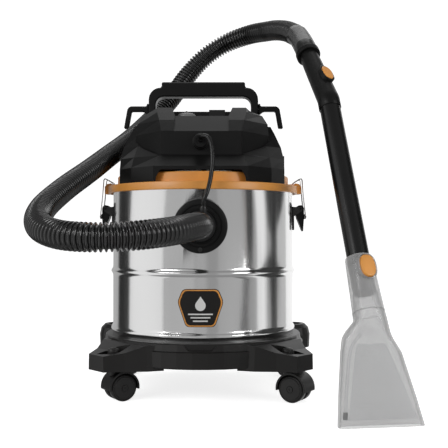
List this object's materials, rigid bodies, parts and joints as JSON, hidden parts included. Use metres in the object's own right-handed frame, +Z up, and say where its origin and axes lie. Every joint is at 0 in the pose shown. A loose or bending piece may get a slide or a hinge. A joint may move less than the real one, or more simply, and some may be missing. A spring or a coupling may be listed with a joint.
{
  "type": "wet carpet cleaner",
  "caption": "Drum wet carpet cleaner on swivel casters, with a lift-off motor head, suction hose, hand wand and clear spray nozzle.",
  "frame": {"origin": "middle of the footprint of everything but the two free hoses, on the floor", "axes": "+Z up, the badge and hose inlet face -Y, the wand stands on the +X side"},
  "size_m": [0.5855, 0.6892, 0.7231],
  "materials": {
    "black_plastic": "fine-grained moulded black",
    "gloss_black": "glossy black",
    "orange_plastic": "satin ochre orange",
    "steel": "polished stainless",
    "wire": "bright drawn wire",
    "rubber": "soft black",
    "foam": "open-cell foam, dark grey",
    "grey_plastic": "mid grey",
    "white_plastic": "natural white",
    "clear_plastic": "clear moulded plastic"
  },
  "bodies": {
    "tank": {"tank_barrel": "steel", "base_chassis": "black_plastic", "badge_plate": "black_plastic", "inlet_flange": "black_plastic", "inlet_gasket": "rubber", "inlet_screw": "steel", "inlet_deflector": "black_plastic", "hose_cuff": "black_plastic", "suction_hose": "gloss_black", "hose_elbow": "gloss_black", "swivel_collar": "black_plastic", "wand_grip": "black_plastic", "wand_tube": "gloss_black", "solution_bottle": "clear_plastic", "solution_tube": "gloss_black", "latch_bracket_left": "steel", "latch_bracket_right": "steel"},
    "head": {"lid_ring": "orange_plastic", "lid_seal": "rubber", "motor_plate": "black_plastic", "lower_housing": "black_plastic", "upper_housing": "black_plastic", "carry_handle": "black_plastic", "cord_hook_left": "black_plastic", "cord_hook_right": "black_plastic", "solution_outlet": "black_plastic", "motor_case": "steel", "solution_pump": "black_plastic", "solution_pickup": "white_plastic", "exhaust_grille": "black_plastic", "power_cord_gland": "rubber", "filter_cage": "black_plastic", "filter_sleeve": "foam"},
    "fan": {"suction_fan": "white_plastic"},
    "float": {"float_ball": "white_plastic"},
    "dial": {"power_dial": "grey_plastic"},
    "rocker": {"rocker_switch": "gloss_black"},
    "nozzle": {"nozzle_adapter": "clear_plastic", "nozzle_body": "clear_plastic", "nozzle_cover": "clear_plastic", "spray_jet": "black_plastic", "spray_line": "clear_plastic"},
    "nozzle_latch": {"nozzle_latch_button": "orange_plastic"},
    "spray_button": {"spray_button": "orange_plastic"},
    "lever_left": {"latch_lever_left": "black_plastic"},
    "bail_left": {"latch_bail_left": "wire"},
    "lever_right": {"latch_lever_right": "black_plastic"},
    "bail_right": {"latch_bail_right": "wire"},
    "caster_front_left": {"caster_front_left": "black_plastic"},
    "wheel_front_left_a": {"wheel_front_left_a": "black_plastic"},
    "wheel_front_left_b": {"wheel_front_left_b": "black_plastic"},
    "caster_front_right": {"caster_front_right": "black_plastic"},
    "wheel_front_right_a": {"wheel_front_right_a": "black_plastic"},
    "wheel_front_right_b": {"wheel_front_right_b": "black_plastic"},
    "caster_rear_left": {"caster_rear_left": "black_plastic"},
    "wheel_rear_left_a": {"wheel_rear_left_a": "black_plastic"},
    "wheel_rear_left_b": {"wheel_rear_left_b": "black_plastic"},
    "caster_rear_right": {"caster_rear_right": "black_plastic"},
    "wheel_rear_right_a": {"wheel_rear_right_a": "black_plastic"},
    "wheel_rear_right_b": {"wheel_rear_right_b": "black_plastic"}
  },
  "joints": [
    {"name": "head_lift", "type": "slide", "parent": "tank", "child": "head", "axis": [0, 0, 1], "range_m": [0, 0.2], "deforming": ["suction_hose", "solution_tube"]},
    {"name": "fan_spin", "type": "hinge", "parent": "head", "child": "fan", "pos_m": [-0.06026, 0.06572, 0.38], "axis": [0, 0, 1], "continuous": true},
    {"name": "float_rise", "type": "slide", "parent": "head", "child": "float", "axis": [0, 0, 1], "range_m": [0, 0.05]},
    {"name": "dial_turn", "type": "hinge", "parent": "head", "child": "dial", "pos_m": [-0.08726, 0.00372, 0.479], "axis": [0, 0, 1], "range_deg": [0, 270]},
    {"name": "rocker_tilt", "type": "hinge", "parent": "head", "child": "rocker", "pos_m": [-0.03426, 0.00372, 0.48], "axis": [1, 0, 0], "range_deg": [-10, 10]},
    {"name": "lever_left", "type": "hinge", "parent": "tank", "child": "lever_left", "pos_m": [-0.23676, 0.06572, 0.3225], "axis": [0, 1, 0], "range_deg": [0, 110]},
    {"name": "bail_left", "type": "hinge", "parent": "lever_left", "child": "bail_left", "pos_m": [-0.24546, 0.06572, 0.3075], "axis": [0, 1, 0], "range_deg": [-137.5, 0]},
    {"name": "lever_right", "type": "hinge", "parent": "tank", "child": "lever_right", "pos_m": [0.11624, 0.06572, 0.3225], "axis": [0, -1, 0], "range_deg": [0, 110]},
    {"name": "bail_right", "type": "hinge", "parent": "lever_right", "child": "bail_right", "pos_m": [0.12494, 0.06572, 0.3075], "axis": [0, -1, 0], "range_deg": [-137.5, 0]},
    {"name": "swivel_front_left", "type": "hinge", "parent": "tank", "child": "caster_front_left", "pos_m": [-0.20576, -0.05778, 0.05], "axis": [0, 0, 1], "continuous": true},
    {"name": "roll_front_left_a", "type": "hinge", "parent": "caster_front_left", "child": "wheel_front_left_a", "pos_m": [-0.19558, -0.05142, 0.0225], "axis": [0.5299, -0.848, 0], "continuous": true},
    {"name": "roll_front_left_b", "type": "hinge", "parent": "caster_front_left", "child": "wheel_front_left_b", "pos_m": [-0.19558, -0.05142, 0.0225], "axis": [0.5299, -0.848, 0], "continuous": true},
    {"name": "swivel_front_right", "type": "hinge", "parent": "tank", "child": "caster_front_right", "pos_m": [0.08524, -0.05778, 0.05], "axis": [0, 0, 1], "continuous": true},
    {"name": "roll_front_right_a", "type": "hinge", "parent": "caster_front_right", "child": "wheel_front_right_a", "pos_m": [0.09542, -0.06414, 0.0225], "axis": [-0.5299, -0.848, 0], "continuous": true},
    {"name": "roll_front_right_b", "type": "hinge", "parent": "caster_front_right", "child": "wheel_front_right_b", "pos_m": [0.09542, -0.06414, 0.0225], "axis": [-0.5299, -0.848, 0], "continuous": true},
    {"name": "swivel_rear_left", "type": "hinge", "parent": "tank", "child": "caster_rear_left", "pos_m": [-0.22026, 0.18272, 0.05], "axis": [0, 0, 1], "continuous": true},
    {"name": "roll_rear_left_a", "type": "hinge", "parent": "caster_rear_left", "child": "wheel_rear_left_a", "pos_m": [-0.21426, 0.19311, 0.0225], "axis": [0.866, -0.5, 0], "continuous": true},
    {"name": "roll_rear_left_b", "type": "hinge", "parent": "caster_rear_left", "child": "wheel_rear_left_b", "pos_m": [-0.21426, 0.19311, 0.0225], "axis": [0.866, -0.5, 0], "continuous": true},
    {"name": "swivel_rear_right", "type": "hinge", "parent": "tank", "child": "caster_rear_right", "pos_m": [0.09974, 0.18272, 0.05], "axis": [0, 0, 1], "continuous": true},
    {"name": "roll_rear_right_a", "type": "hinge", "parent": "caster_rear_right", "child": "wheel_rear_right_a", "pos_m": [0.10481, 0.17184, 0.0225], "axis": [-0.9063, -0.4226, 0], "continuous": true},
    {"name": "roll_rear_right_b", "type": "hinge", "parent": "caster_rear_right", "child": "wheel_rear_right_b", "pos_m": [0.10481, 0.17184, 0.0225], "axis": [-0.9063, -0.4226, 0], "continuous": true},
    {"name": "nozzle_pull", "type": "slide", "parent": "tank", "child": "nozzle", "axis": [0.0921, -0.437, -0.8948], "range_m": [0, 0.05]},
    {"name": "nozzle_latch_press", "type": "slide", "parent": "nozzle", "child": "nozzle_latch", "axis": [-0.2896, 0.848, -0.4439], "range_m": [0, 0.0014], "stiffness_N_per_m": 300},
    {"name": "spray_press", "type": "slide", "parent": "tank", "child": "spray_button", "axis": [-0.4776, 0.6106, -0.6316], "range_m": [0, 0.0014], "stiffness_N_per_m": 300}
  ],
  "couplings": [
    {"joint": "bail_left", "follows": "lever_left", "ratio": -1.25},
    {"joint": "bail_right", "follows": "lever_right", "ratio": -1.25}
  ]
}
